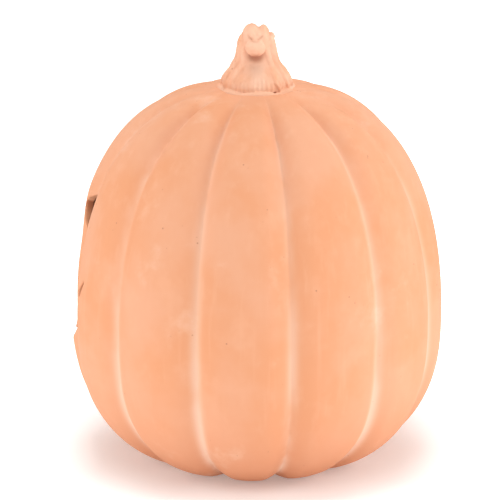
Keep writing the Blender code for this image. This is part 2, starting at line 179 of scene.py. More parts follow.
def climb_table():
    """Latitudes and the length of the body's profile from its lower lip up to each of them."""
    latitudes = np.linspace(BASE_LATITUDE, math.pi / 2, 24000)
    crown_line = body_points(latitudes, np.full_like(latitudes, RIB_PITCH / 2 + math.pi))
    lengths = np.linalg.norm(np.diff(crown_line, axis=0), axis=1)
    return latitudes, np.concatenate([[0], np.cumsum(lengths)])


LATITUDES, CLIMBS = climb_table()


def surface(places):
    """Points for an array of (turn, climb)."""
    return body_points(np.interp(places[:, 1], CLIMBS, LATITUDES), places[:, 0])


def surface_normals(places):
    step = 0.05 * MM
    along = surface(places + (step / BODY_RADIUS, 0)) - surface(places - (step / BODY_RADIUS, 0))
    upward = surface(np.minimum(places + (0, step), (9, CLIMBS[-1]))) - surface(places - (0, step))
    normals = np.cross(along, upward)
    size = np.linalg.norm(normals, axis=1, keepdims=True)
    normals = np.where(size > 1e-16, normals / np.maximum(size, 1e-16), (0, 0, 1))
    return normals


def climb_at(turn_degrees, level):
    """The climb at which the body reaches a height given in body radii."""
    heights = body_points(LATITUDES[::12], math.radians(turn_degrees))[:, 2]
    return float(np.interp(level * BODY_RADIUS, heights, CLIMBS[::12]))


def column_turn(column):
    rib, place = divmod(column, COLUMNS_PER_RIB)
    within = place / COLUMNS_PER_RIB
    return RIB_PITCH * (rib + within - CROWDING * math.sin(2 * math.pi * within) / (2 * math.pi))


def lip(middle, corner, teeth, tooth_rise):
    """One lip from corner to corner, with square teeth standing tooth_rise into the mouth."""
    points = []
    edges = {edge for tooth in teeth for edge in tooth}
    for turn in sorted({*(step * LIP_STEP - LIP_REACH for step in range(53)), *edges}):
        height = lip_height(turn, middle, corner)
        rise = tooth_rise if any(start < turn < end for start, end in teeth) else 0
        if turn in edges:
            sides = [height, height + tooth_rise]
            opens = any(turn == start for start, _ in teeth)
            points += [(turn, level) for level in (sides if opens else sides[::-1])]
        else:
            points.append((turn, height + rise))
    return [(-MOUTH_HALF_ANGLE, corner), *points, (MOUTH_HALF_ANGLE, corner)]


def outlines():
    """The cut-outs as (degrees, body radii) corners."""
    upper = lip(MOUTH_UPPER, MOUTH_CORNER + MOUTH_BLUNT, UPPER_TEETH, -TOOTH_LENGTH)
    lower = lip(MOUTH_LOWER, MOUTH_CORNER - MOUTH_BLUNT, LOWER_TEETH, TOOTH_LENGTH)
    return EYE, tuple((-turn, level) for turn, level in EYE), NOSE, tuple(upper + lower[::-1])


def rounded(corners, radius):
    """A closed outline of 2D points with its sharp corners turned into arcs."""
    result = []
    for i, corner in enumerate(corners):
        before, after = corners[i - 1] - corner, corners[(i + 1) % len(corners)] - corner
        bend = math.degrees(abs(before.angle_signed(-after)))
        if bend < 20:
            result.append(corner)
            continue
        reach = min(radius, 0.45 * before.length, 0.45 * after.length)
        start, end = corner + before.normalized() * reach, corner + after.normalized() * reach
        for t in (0, 0.25, 0.5, 0.75, 1):
            result.append(start * (1 - t) ** 2 + corner * 2 * t * (1 - t) + end * t * t)
    return result


def cut_line(outline):
    """A cut-out's edge as closely spaced (turn, climb) places, as lengths, with a knife's wobble."""
    flat = [Vector((math.radians(turn), level)) * BODY_RADIUS for turn, level in outline]
    corners = rounded(flat, CORNER_ROUND)
    places = []
    for i, start in enumerate(corners):
        end = corners[(i + 1) % len(corners)]
        steps = max(1, round((end - start).length / OUTLINE_STEP))
        for step in range(steps):
            point = start.lerp(end, step / steps)
            point += Vector((noise.noise((point.x * 150, point.y * 150, 1)),
                             noise.noise((point.x * 150, point.y * 150, 5)))) * KNIFE_WOBBLE
            turn, level = math.degrees(point.x / BODY_RADIUS), point.y / BODY_RADIUS
            places.append((point.x, climb_at(turn, level)))
    return np.array(places)


def distances(points, lines):
    """Each 2D point's distance to the nearest segment of the closed lines."""
    nearest = np.full(len(points), 1.0)
    for line in lines:
        start, run = line, np.roll(line, -1, axis=0) - line
        for i in range(0, len(points), 2000):
            away = points[i:i + 2000, None, :] - start[None]
            share = np.clip((away * run).sum(-1) / (run * run).sum(-1), 0, 1)
            gap = np.linalg.norm(away - share[..., None] * run, axis=-1).min(axis=1)
            nearest[i:i + 2000] = np.minimum(nearest[i:i + 2000], gap)
    return nearest


def inside(points, line):
    """Whether each 2D point lies inside a closed line."""
    following = np.roll(line, -1, axis=0)
    x, y = points[:, 0, None], points[:, 1, None]
    crosses = (line[:, 1] > y) != (following[:, 1] > y)
    with np.errstate(divide='ignore', invalid='ignore'):
        at = line[:, 0] + (y - line[:, 1]) * (following[:, 0] - line[:, 0]) / (following[:, 1] - line[:, 1])
    return (crosses & (x < at)).sum(axis=1) % 2 == 1


def ring_points(lines):
    """Points beside the cut lines, in rings that the edges' rounding follows."""
    rings = []
    for line in lines:
        run = np.roll(line, -1, axis=0) - np.roll(line, 1, axis=0)
        side = np.stack([run[:, 1], -run[:, 0]], axis=1)
        side /= np.linalg.norm(side, axis=1, keepdims=True)
        signed_area = (line[:, 0] * np.roll(line[:, 1], -1) - np.roll(line[:, 0], -1) * line[:, 1]).sum()
        outward = side if signed_area > 0 else -side
        for reach in RINGS:
            points = line + outward * reach
            rings.append(points[distances(points, lines) > reach * 0.97])
    return np.concatenate(rings)


def shell_layout():
    """Places (turn, climb) over the whole body and faces that leave the cut-outs open, seen from outside."""
    top = CLIMBS[-1]
    rows = round(top / ROW_STEP)
    places = [(column_turn(c), top * r / rows) for r in range(rows) for c in range(COLUMNS)]
    pole = len(places)
    places.append((0.0, top))
    low, high = (round(climb_at(0, level) / top * rows) for level in FACE_LEVELS)

    def in_face(r, c):
        offset = (c + COLUMNS // 2) % COLUMNS - COLUMNS // 2
        return low <= r < high and -FACE_COLUMNS <= offset < FACE_COLUMNS

    faces = []
    for r in range(rows - 1):
        for c in range(COLUMNS):
            if not in_face(r, c):
                right = (c + 1) % COLUMNS
                faces.append((r * COLUMNS + c, r * COLUMNS + right,
                              (r + 1) * COLUMNS + right, (r + 1) * COLUMNS + c))
    last = (rows - 1) * COLUMNS
    faces += [(last + c, last + (c + 1) % COLUMNS, pole) for c in range(COLUMNS)]

    lines = [cut_line(outline) for outline in outlines()]
    window, kept_grid = [], []
    for r in range(low, high + 1):
        for offset in range(-FACE_COLUMNS, FACE_COLUMNS + 1):
            rim = r in (low, high) or abs(offset) == FACE_COLUMNS
            window.append((column_turn(offset) * BODY_RADIUS, top * r / rows))
            kept_grid.append((r * COLUMNS + offset % COLUMNS, rim))
    window = np.array(window)
    clear = distances(window, lines) > RINGS[-1] + RING_CLEARANCE
    keep = [i for i, (_, rim) in enumerate(kept_grid) if rim or clear[i]]
    rings = ring_points(lines)
    flat = [Vector(p) for p in window[keep]] + [Vector(p) for line in lines for p in line]
    flat += [Vector(p) for p in rings]
    holes, start = [], len(keep)
    for line in lines:
        holes.append(list(range(start, start + len(line))))
        start += len(line)
    borders = [(hole[i], hole[(i + 1) % len(hole)]) for hole in holes for i in range(len(hole))]
    found, _, triangles, origins, _, _ = delaunay_2d_cdt(flat, borders, [], 0, 1e-7)
    found = np.array([tuple(p) for p in found])
    middles = found[np.array(triangles)].mean(axis=1)
    open_face = np.zeros(len(triangles), bool)
    for line in lines:
        open_face |= inside(middles, line)
    number = {}
    for triangle, is_open in zip(triangles, open_face):
        if is_open:
            continue
        for corner in triangle:
            if corner in number:
                continue
            source = origins[corner][0] if origins[corner] else -1
            if 0 <= source < len(keep):
                number[corner] = kept_grid[keep[source]][0]
            else:
                number[corner] = len(places)
                places.append((found[corner][0] / BODY_RADIUS, found[corner][1]))
        faces.append(tuple(number[corner] for corner in triangle))
    used = sorted({corner for face in faces for corner in face})
    order = {corner: i for i, corner in enumerate(used)}
    faces = [tuple(order[corner] for corner in face) for face in faces]
    return np.array([places[i] for i in used]), faces, lines


def make_shell():
    places, faces, lines = shell_layout()
    flat = places * (BODY_RADIUS, 1)
    flat[:, 0] = (flat[:, 0] / BODY_RADIUS + math.pi) % (2 * math.pi) * BODY_RADIUS - math.pi * BODY_RADIUS
    off_edge = distances(flat, lines)

    def rolled(radius):
        lean = np.clip(radius - off_edge, 0, radius)
        return radius - np.sqrt(radius ** 2 - lean ** 2)

    points, normals = surface(places), surface_normals(places)
    count = len(places)
    sunk, risen = rolled(EDGE_ROUND), WALL - rolled(INNER_ROUND)
    sheets = [points - normals * sunk[:, None], points - normals * risen[:, None]]
    directed = {(face[i], face[(i + 1) % len(face)]) for face in faces for i in range(len(face))}
    border = [(a, b) for a, b in directed if (b, a) not in directed]
    rim = sorted({a for a, _ in border})
    all_faces = list(faces) + [tuple(count + i for i in reversed(face)) for face in faces]
    coordinates = list(sheets)
    layer_of = [{i: i for i in rim}]
    start = 2 * count
    for layer in range(1, WALL_LAYERS):
        share = layer / WALL_LAYERS
        depth = sunk[rim] * (1 - share) + risen[rim] * share
        layer_points = points[rim] - normals[rim] * depth[:, None]
        coordinates.append(layer_points)
        layer_of.append({vertex: start + i for i, vertex in enumerate(rim)})
        start += len(rim)
    layer_of.append({i: count + i for i in rim})
    for a, b in border:
        for near, far in zip(layer_of, layer_of[1:]):
            all_faces.append((near[b], near[a], far[a], far[b]))
    coordinates = np.concatenate(coordinates)
    heights = coordinates[:, 2]
    coordinates[:, 2] = (heights + np.sqrt(heights ** 2 + FOOT_ROUND ** 2)) / 2

    mesh = bpy.data.meshes.new("pumpkin_body")
    mesh.from_pydata(coordinates.tolist(), [], all_faces)
    mesh.shade_smooth()
    latitude = np.interp(places[:, 1], CLIMBS, LATITUDES)
    off_groove = np.abs((places[:, 0] + RIB_PITCH / 2) % RIB_PITCH - RIB_PITCH / 2) / RIB_PITCH
    lime = np.zeros(len(coordinates))
    lime[:count] = np.exp(-(off_groove / LIME_SPREAD) ** 2) * groove_fade(latitude)
    # painted shade: the inside face of the shell is marked for darkening, as the shade inside the lantern
    inner = np.zeros(len(coordinates))
    inner[count:2 * count] = 1
    # darker cut walls and cut edges: partly the raw knife-cut clay, partly painted shade inside the openings
    cut = np.zeros(len(coordinates))
    cut[:count] = 1 - smoothstep(0.2 * MM, 1.0 * MM, off_edge)
    cut[2 * count:] = 1
    for name, values in (("lime", lime), ("inner", inner), ("cut", cut)):
        mesh.attributes.new(name, 'FLOAT', 'POINT').data.foreach_set("value", values.astype(np.float32))
    mesh.materials.append(TERRACOTTA)
    add_piece("pumpkin_body", mesh, "pumpkin", "terracotta", "pumpkin_shell")


# ---- stem -----------------------------------------------------------------------------------------------
STEM_AZIMUTH = math.radians(109)
STEM_OUT = Vector((math.sin(STEM_AZIMUTH), -math.cos(STEM_AZIMUTH), 0))
STEM_RIGHT = Vector((math.cos(STEM_AZIMUTH), math.sin(STEM_AZIMUTH), 0))
STEM_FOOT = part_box("stem")[0][2]
SEAM_RADIUS = 23.9 * MM
SEAM_THICKNESS = 2.5 * MM
SEAM_SINK = 1.1 * MM
SEAM_STOPS = 180
COLUMN_INSET = 1.7          # how far the core lies inside the ridges, in millimetres
FLUTES = 46
FLUTE_DEPTH = 0.45 * MM
LUMP_HEIGHT = 0.45          # in millimetres, as is the crease
CREASE_DEPTH = 0.65
# (height, radius) over the ridges, in millimetres
STEM_PROFILE = ((-1.5, 24.6), (1, 24.7), (3.6, 24.5), (6, 23.6), (8.8, 21.6), (13, 18.0), (17.2, 15.7),
                (21.4, 14.4), (26, 13.7), (30, 13.0), (34, 11.6))
# turn from the curl's side, height of its end, thickness
STEM_RIDGES = ((40, 27, 2.4), (66, 34, 2.7), (92, 35.5, 3.0), (118, 36, 2.6), (146, 37, 2.8),
               (174, 37.5, 2.6), (-42, 27.5, 2.3), (-68, 31, 2.8), (-95, 34.8, 2.9),
               (-122, 36.5, 2.7), (-149, 37, 2.5))
# lobes of the curled end: (right, out, up) of the middle, then of the half sizes
STEM_LOBES = (((-3.3, 4.8, 36.6), (6.0, 8.8, 7.0)), ((4.5, 5.2, 36.0), (4.0, 7.6, 6.9)),
              ((1.4, 5.4, 35.4), (5.0, 7.8, 6.4)), ((-0.8, 14.8, 29.2), (6.7, 5.4, 5.8)),
              ((-0.6, 8.4, 32.4), (7.8, 6.2, 6.2)),
              ((-0.2, 2.0, 30.5), (10.8, 8.6, 7.6)), ((-9.6, 0.5, 32.2), (2.6, 3.4, 3.6)),
              ((10.0, 0.0, 33.6), (2.3, 3.2, 3.4)))


def stem_place(right, out, up):
    return (STEM_RIGHT * right + STEM_OUT * out + Vector((0, 0, up))) * MM + Vector((0, 0, STEM_FOOT))


def stem_radius(height):
    return float(np.interp(height, *zip(*STEM_PROFILE)))


def stem_column():
    """The fluted core: a turned profile, its surface drawn into fine flutes towards the foot."""
    sides = [(radius - COLUMN_INSET, height) for height, radius in reversed(STEM_PROFILE[:-1])]
    profile = [(0.0, 33.0), *sides, (0.0, -1.5)]
    mesh = bpy.data.meshes.new("stem_column")
    mesh.from_pydata([(radius * MM, 0, height * MM) for radius, height in profile],
                     [(i, i + 1) for i in range(len(profile) - 1)], [])
    helper = scratch_object("stem_column", mesh)
    refine = helper.modifiers.new("smooth", 'SUBSURF')
    refine.levels = refine.render_levels = 2
    screw = helper.modifiers.new("turn", 'SCREW')
    screw.steps = screw.render_steps = 180
    screw.use_merge_vertices = True
    screw.merge_threshold = 0.00002
    turned = evaluated_mesh(helper)
    for vertex in turned.vertices:
        around = math.atan2(vertex.co.y, vertex.co.x)
        low = 1 - smoothstep(5, 15, vertex.co.z / MM)
        flute = FLUTE_DEPTH * math.sin(FLUTES * around + 2 * math.sin(3 * around)) * float(low)
        reach = math.hypot(vertex.co.x, vertex.co.y)
        if reach > 8 * MM:
            vertex.co.x *= 1 + flute / reach
            vertex.co.y *= 1 + flute / reach
        vertex.co.z += STEM_FOOT
    return turned


def stem_ridge(turn_degrees, end, thickness):
    """One cord-like ridge that climbs from the foot's edge and rounds off at the column's top."""
    turn = math.radians(turn_degrees)
    heights = [0.5, 3, 6, 9, 12, 16, 20, 24, 28, 32, 36]
    heights = [h for h in heights if h < end - 2] + [end - 2, end]
    curve = bpy.data.curves.new("stem_ridge", 'CURVE')
    curve.dimensions = '3D'
    curve.bevel_depth = MM
    curve.bevel_resolution = 4
    curve.use_fill_caps = True
    spline = curve.splines.new('POLY')
    spline.points.add(len(heights) - 1)
    for i, (point, height) in enumerate(zip(spline.points, heights)):
        radius = thickness * (0.35 + 0.65 * float(smoothstep(0, 15, height)))
        if i == len(heights) - 1:
            radius *= 0.55
        reach = stem_radius(height) - radius - (1.6 if i == len(heights) - 1 else 0)
        swing = turn + 0.07 * math.sin(height * 0.35 + turn_degrees)
        point.co = (*stem_place(reach * math.sin(swing), reach * math.cos(swing), height), 1)
        point.radius = radius
    return evaluated_mesh(scratch_object("stem_ridge", curve))


def stem_lobe(middle, half_sizes):
    work = bmesh.new()
    bmesh.ops.create_icosphere(work, subdivisions=4, radius=1)
    for vertex in work.verts:
        local = [middle[i] + half_sizes[i] * vertex.co[i] for i in range(3)]
        vertex.co = stem_place(*local)
    mesh = bpy.data.meshes.new("stem_lobe")
    bmesh.ops.recalc_face_normals(work, faces=work.faces)
    work.to_mesh(mesh)
    work.free()
    return mesh


def slip_seam():
    """The roll of slip round the stem's foot, lying on the crown."""
    latitudes = np.linspace(math.radians(60), math.radians(89), 120)
    curve = bpy.data.curves.new("slip_seam", 'CURVE')
    curve.dimensions = '3D'
    curve.bevel_depth = SEAM_THICKNESS
    curve.bevel_resolution = 4
    spline = curve.splines.new('POLY')
    spline.points.add(SEAM_STOPS - 1)
    spline.use_cyclic_u = True
    for i, point in enumerate(spline.points):
        turn = 2 * math.pi * i / SEAM_STOPS
        course = body_points(latitudes, np.full_like(latitudes, turn))
        reach = np.hypot(course[:, 0], course[:, 1])
        out = SEAM_RADIUS + 0.5 * MM * math.sin(5 * turn + 1) + 0.3 * MM * math.sin(11 * turn)
        height = float(np.interp(-out, -reach, course[:, 2]))
        angle = math.atan2(course[0, 1], course[0, 0])
        point.co = (out * math.cos(angle), out * math.sin(angle), height - SEAM_SINK, 1)
        point.radius = 1 + 0.25 * math.sin(7 * turn)
    return evaluated_mesh(scratch_object("slip_seam", curve))


def weather_stem(mesh):
    """Roughens the stem, creases its chin, and marks painted shade in the hollow below the chin and along the
    crease, and where its clay is pale.
    """
    places = np.empty(len(mesh.vertices) * 3)
    mesh.vertices.foreach_get("co", places)
    normals = np.empty(len(mesh.vertices) * 3)
    mesh.vertices.foreach_get("normal", normals)
    places, normals = places.reshape(-1, 3), normals.reshape(-1, 3)
    local = (places - np.array((0, 0, STEM_FOOT))) / MM
    right, out, up = local @ np.array(STEM_RIGHT), local @ np.array(STEM_OUT), local[:, 2]
    smile = up - (34.2 + 0.11 * (right + 0.8) ** 2)
    crease = np.exp(-(smile / 0.7) ** 2) * smoothstep(8, 11, out)
    crease *= 1 - smoothstep(4.0, 6.0, np.abs(right + 0.8))
    lumps = np.array([noise.noise(Vector(point) * 220) + 0.5 * noise.noise(Vector(point) * 620)
                      for point in places])
    push = LUMP_HEIGHT * lumps * smoothstep(2, 8, up) - CREASE_DEPTH * crease
    mesh.vertices.foreach_set("co", (places + normals * (push * MM)[:, None]).ravel())
    # painted shade: strongest in the hollow under the chin, a quarter as strong along the chin's crease
    off = np.linalg.norm(np.stack((right + 0.5, (out - 12.5) * 0.8, (up - 23.2) * 1.3), axis=1), axis=1)
    hollow = (1 - smoothstep(2.5, 8.0, off)) + 0.25 * crease
    slip = 1 - smoothstep(0.8, 3.0, np.abs(up + 0.2))
    front = (1 - smoothstep(2.0, 6.5, np.abs(right - 1.5))) * (1 - smoothstep(13, 21, up))
    front *= smoothstep(8, 14, out)
    for name, values in (("hollow", hollow), ("lime", np.maximum(slip, 0.8 * front))):
        attribute = mesh.attributes.new(name, 'FLOAT', 'POINT')
        attribute.data.foreach_set("value", np.clip(values, 0, 1).astype(np.float32))


def make_stem():
    parts = [slip_seam(), stem_column()] + [stem_ridge(*ridge) for ridge in STEM_RIDGES]
    parts += [stem_lobe(*lobe) for lobe in STEM_LOBES]
    work = bmesh.new()
    for part in parts:
        work.from_mesh(part)
    bmesh.ops.remove_doubles(work, verts=work.verts, dist=0.00001)
    bmesh.ops.recalc_face_normals(work, faces=work.faces)
    joined = bpy.data.meshes.new("stem_stalk")
    work.to_mesh(joined)
    work.free()
    helper = scratch_object("stem_stalk", joined)
    fuse = helper.modifiers.new("fuse", 'REMESH')
    fuse.mode = 'VOXEL'
    fuse.voxel_size = 0.45 * MM
    soften = helper.modifiers.new("soften", 'SMOOTH')
    soften.factor = 0.5
    soften.iterations = 4
    mesh = evaluated_mesh(helper)
    mesh.name = "stem_stalk"
    weather_stem(mesh)
    mesh.shade_smooth()
    mesh.materials.clear()
    mesh.materials.append(TERRACOTTA)
    add_piece("stem_stalk", mesh, "pumpkin", "terracotta", "stem")


# ---- tealight -------------------------------------------------------------------------------------------
CUP_RADIUS, _, CUP_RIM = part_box("tealight_housing")[1]
CUP_WALL = 1.2 * MM
COLLAR_HOLE = 5.0 * MM
COLLAR_TOP = CUP_RIM - 1.2 * MM
BEAD_SINK = 0.25 * MM       # the groove round the cup's foot
LED_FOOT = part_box("led_lamp")[0][2]
FLAME_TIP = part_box("flame_diffuser")[1][2]
FLAME_RADIUS = 6.3 * MM
FLAME_WALL = 1.6 * MM
FLAME_BORE = 3.4 * MM
FLAME_WIDEST = 0.17         # share of the flame's height
GAP = 0.3 * MM


def turned_piece(name, profile, steps, body, slot, finish, node, round_off):
    """Turns a profile of (radius, height) about Z and rounds its corners.

    A profile that starts off the axis is closed on itself first.
    """
    mesh = bpy.data.meshes.new(name)
    edges = [(i, i + 1) for i in range(len(profile) - 1)]
    if profile[0][0] > 0:
        edges.append((len(profile) - 1, 0))
    mesh.from_pydata([(radius, 0, height) for radius, height in profile], edges, [])
    helper = scratch_object(name, mesh)
    screw = helper.modifiers.new("turn", 'SCREW')
    screw.steps = screw.render_steps = steps
    screw.use_merge_vertices = True
    screw.merge_threshold = 0.00001
    bevel = helper.modifiers.new("round", 'BEVEL')
    bevel.width = round_off
    bevel.segments = 2
    bevel.limit_method = 'ANGLE'
    bevel.angle_limit = math.radians(25)
    finished = evaluated_mesh(helper)
    finished.shade_smooth()
    finished.set_sharp_from_angle(angle=math.radians(40))
    finished.materials.clear()
    finished.materials.append(finish)
    add_piece(name, finished, body, slot, node)


def make_cup():
    """White cup with a dished top like a pool of wax, and a collar round the flame."""
    inner, dish = CUP_RADIUS - CUP_WALL, CUP_RIM - 2.2 * MM
    soffit, bead = dish - CUP_WALL, CUP_RADIUS - BEAD_SINK
    pool = [(COLLAR_HOLE + 2.2 * MM + share * (inner - COLLAR_HOLE - 4.2 * MM),
             dish + 0.25 * MM * math.sin(9 * share)) for share in (0, 0.2, 0.4, 0.6, 0.8, 1)]
    profile = [(COLLAR_HOLE, COLLAR_TOP), (COLLAR_HOLE + 1.4 * MM, COLLAR_TOP), *pool,
               (inner - 0.6 * MM, CUP_RIM - 0.3 * MM), (inner + 0.2 * MM, CUP_RIM),
               (CUP_RADIUS - 0.3 * MM, CUP_RIM - 0.3 * MM), (CUP_RADIUS, CUP_RIM - MM),
               (CUP_RADIUS, 3.2 * MM), (bead, 3.0 * MM), (bead, 2.6 * MM), (CUP_RADIUS, 2.4 * MM),
               (CUP_RADIUS, 0.4 * MM), (CUP_RADIUS - 0.4 * MM, 0), (inner, 0), (inner, soffit - MM),
               (inner - MM, soffit), (COLLAR_HOLE, soffit)]
    turned_piece("tealight_cup", profile, 96, "light", "white_plastic", WHITE_PLASTIC, "tealight_housing",
                 0.12 * MM)


def flame_reach(share):
    """The flame's radius at a share of its height: a round shoulder, then a long taper to the tip."""
    if share < FLAME_WIDEST:
        return FLAME_RADIUS * math.sin(math.pi * (share + 0.33)) ** 0.8
    return FLAME_RADIUS * (1 - ((share - FLAME_WIDEST) / (1 - FLAME_WIDEST)) ** 1.25) ** 0.95


def make_flame():
    """Hollow flame on a tube that plugs into the cup's collar."""
    tube, seat, tube_foot = COLLAR_HOLE - GAP, COLLAR_TOP + GAP, LED_FOOT + 0.8 * MM
    tall = FLAME_TIP - seat
    outside = [(0.0, FLAME_TIP)]
    outside += [(flame_reach(share), seat + tall * share) for share in np.linspace(1, 0, 28)[1:]]
    hollow = [(max(0.0, flame_reach(share) - FLAME_WALL), seat + tall * share)
              for share in np.linspace(0.06, 0.80, 16)]
    profile = [*outside, (tube, seat), (tube, tube_foot), (FLAME_BORE, tube_foot), *hollow,
               (0.0, seat + tall * 0.82)]
    turned_piece("flame_shell", profile, 64, "light", "flame_plastic", FLAME_PLASTIC, "flame_diffuser",
                 0.05 * MM)


def make_led():
    """5 mm LED: flange, barrel and dome."""
    radius, flange, dome_low = 2.5 * MM, 2.9 * MM, LED_FOOT + 6.1 * MM
    dome = [(radius * math.sin(math.radians(a)), dome_low + radius * math.cos(math.radians(a)))
            for a in range(0, 91, 6)]
    profile = [*dome, (radius, LED_FOOT + MM), (flange, LED_FOOT + MM), (flange, LED_FOOT), (0.0, LED_FOOT)]
    turned_piece("led_bulb", profile, 48, "light", "led_epoxy", LED_EPOXY, "led_lamp", 0.06 * MM)


def finish_cad_nodes():
    """Gives finishes to the tealight's pieces that keep the CAD's shapes."""
    finishes = {"base_plate": WHITE_PLASTIC, "battery_door": WHITE_PLASTIC, "switch_knob": BLACK_PLASTIC,
                "coin_cell": CELL_STEEL, "negative_contact": CONTACT_STEEL, "positive_contact": CONTACT_STEEL,
                "anode_lead": CONTACT_STEEL, "cathode_lead": CONTACT_STEEL}
    for name, finish in finishes.items():
        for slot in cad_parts[name].material_slots:
            slot.material = finish


# ---- finishes -------------------------------------------------------------------------------------------
class Value:
    """A number that varies over a surface: arithmetic on it adds Math nodes."""

    def __init__(self, finish, socket):
        self.finish = finish
        self.socket = socket

    def math(self, operation, *operands):
        node = self.finish.tree.nodes.new("ShaderNodeMath")
        node.operation = operation
        for socket, operand in zip(node.inputs, operands):
            self.finish.feed(socket, operand)
        return Value(self.finish, node.outputs[0])

    def __add__(self, other):
        return self.math('ADD', self, other)

    __radd__ = __add__

    def __sub__(self, other):
        return self.math('SUBTRACT', self, other)

    def __rsub__(self, other):
        return self.math('SUBTRACT', other, self)

    def __mul__(self, other):
        return self.math('MULTIPLY', self, other)

    __rmul__ = __mul__


class Finish:
    """A material built round one Principled shader."""

    def __init__(self, name, **constants):
        self.material = bpy.data.materials.new(name)
        self.material.use_nodes = True
        self.tree = self.material.node_tree
        self.shader = self.tree.nodes["Principled BSDF"]
        self.place = self.node("ShaderNodeTexCoord").outputs["Object"]
        for name, value in constants.items():
            self.feed(self.shader.inputs[name.replace("_", " ")], value)

    def feed(self, socket, value):
        if isinstance(value, Value):
            value = value.socket
        if isinstance(value, bpy.types.NodeSocket):
            self.tree.links.new(value, socket)
        else:
            socket.default_value = value

    def node(self, kind, settings=None, **inputs):
        node = self.tree.nodes.new(kind)
        for name, value in (settings or {}).items():
            setattr(node, name, value)
        for name, value in inputs.items():
            self.feed(node.inputs[name.replace("_", " ")], value)
        return node

    def attribute(self, name):
        return Value(self, self.node("ShaderNodeAttribute", {"attribute_name": name}).outputs["Fac"])

    def height(self):
        return Value(self, self.node("ShaderNodeSeparateXYZ", Vector=self.place).outputs["Z"])

    def noise(self, scale, detail=3.0, roughness=0.5, stretch=(1, 1, 1)):
        """Cloudy noise from 0 to 1. A stretch under 1 lengthens it along that axis."""
        place = self.node("ShaderNodeMapping", Vector=self.place, Scale=stretch).outputs["Vector"]
        node = self.node("ShaderNodeTexNoise", Vector=place, Scale=scale, Detail=detail, Roughness=roughness)
        return Value(self, node.outputs["Fac"])

    def span(self, value, low, high):
        """0 below low, 1 above high."""
        node = self.node("ShaderNodeMapRange", {"interpolation_type": 'SMOOTHSTEP'},
                         Value=value, From_Min=low, From_Max=high)
        return Value(self, node.outputs["Result"])

    def mix(self, share, first, second):
        node = self.node("ShaderNodeMix", {"data_type": 'RGBA'})
        for socket, value in zip((node.inputs[0], node.inputs[6], node.inputs[7]), (share, first, second)):
            self.feed(socket, (*value, 1) if isinstance(value, tuple) else value)
        return node.outputs[2]

    def bump(self, height, strength, distance):
        node = self.node("ShaderNodeBump", Height=height, Strength=strength, Distance=distance)
        return node.outputs["Normal"]


def terracotta():
    """Unglazed fired clay: cloudy, streaked and pitted, darker towards the foot, with lime in the grooves,
    and with painted shade under the stem's chin, on the cut walls and inside the shell.
    """
    clay = Finish("terracotta", Specular_IOR_Level=0.25)
    clouds = clay.noise(14, 4, 0.55)
    patches = clay.noise(38, 3, 0.6)
    streaks = clay.noise(150, 3, 0.6, (1, 1, 0.07))
    grain = clay.noise(1300, 2, 0.6)
    dots = clay.node("ShaderNodeTexVoronoi", {"feature": 'F1'}, Vector=clay.place, Scale=210, Randomness=1.0)
    off_dot = Value(clay, dots.outputs["Distance"])
    pit = (1 - clay.span(off_dot, 0.06, 0.16)) * clay.span(clay.noise(60, 1), 0.62, 0.70)
    colour = clay.mix(clay.span(clouds, 0.35, 0.65), (0.765, 0.338, 0.175), (0.78, 0.385, 0.232))
    colour = clay.mix(clay.span(patches, 0.5, 0.75) * 0.45, colour, (0.81, 0.41, 0.25))
    colour = clay.mix(clay.span(streaks, 0.5, 0.8) * 0.3, colour, (0.82, 0.44, 0.28))
    stalk = clay.span(clay.height(), STEM_FOOT + 1 * MM, STEM_FOOT + 3 * MM)
    colour = clay.mix(stalk * clay.span(patches, 0.2, 0.6), colour, (0.85, 0.50, 0.345))
    # darker towards the foot
    foot_darkening = (1 - clay.span(clay.height(), 12 * MM, 95 * MM)) * 0.75
    colour = clay.mix(foot_darkening, colour, (0.70, 0.305, 0.165))
    lime = clay.attribute("lime") * clay.span(clay.noise(30, 3, 0.6, (1, 1, 0.35)), 0.25, 0.6)
    bloom = clay.span(clay.noise(22, 5, 0.65), 0.56, 0.75) * 0.3
    low = 1 - clay.span(clay.height(), 40 * MM, 170 * MM)
    colour = clay.mix(lime * (0.4 + low * 0.45) + bloom, colour, (0.87, 0.60, 0.45))
    # painted shade: the hollow under the stem's chin and its crease darkened towards deep red-brown
    colour = clay.mix(clay.attribute("hollow") * 0.75, colour, (0.42, 0.15, 0.08))
    # cut walls and edges darkened: partly the raw knife-cut clay, partly painted shade inside the openings
    colour = clay.mix(clay.attribute("cut") * 0.45, colour, (0.62, 0.26, 0.13))
    # painted shade: the inside of the shell darkened nearly to brown-black
    colour = clay.mix(clay.attribute("inner") * 0.85, colour, (0.30, 0.12, 0.06))
    colour = clay.mix(pit * 0.6, colour, (0.45, 0.18, 0.10))
    clay.feed(clay.shader.inputs["Base Color"], colour)
    clay.feed(clay.shader.inputs["Roughness"], 0.84 + patches * 0.1)
    relief = clay.bump(streaks * 0.5 + grain * 0.12 - pit * 1.5, 0.5, 0.25 * MM)
    clay.feed(clay.shader.inputs["Normal"], relief)
    return clay.material


def floor_paper():
    """White paper with a glow of its own, weaker round the pumpkin's foot."""
    paper = Finish("floor_paper", Base_Color=(0.9, 0.9, 0.9, 1), Roughness=0.9, Emission_Strength=1.0)
    away = Value(paper, paper.node("ShaderNodeVectorMath", {"operation": 'LENGTH'},
                                   Vector=paper.place).outputs["Value"])
    glow = paper.mix(paper.span(away, 0.08, 0.25), (0.2, 0.2, 0.2), (0.85, 0.85, 0.85))
    paper.feed(paper.shader.inputs["Emission Color"], glow)
    fibre = paper.noise(400, 2, 0.5)
    paper.feed(paper.shader.inputs["Normal"], paper.bump(fibre, 0.05, 0.1 * MM))
    return paper.material


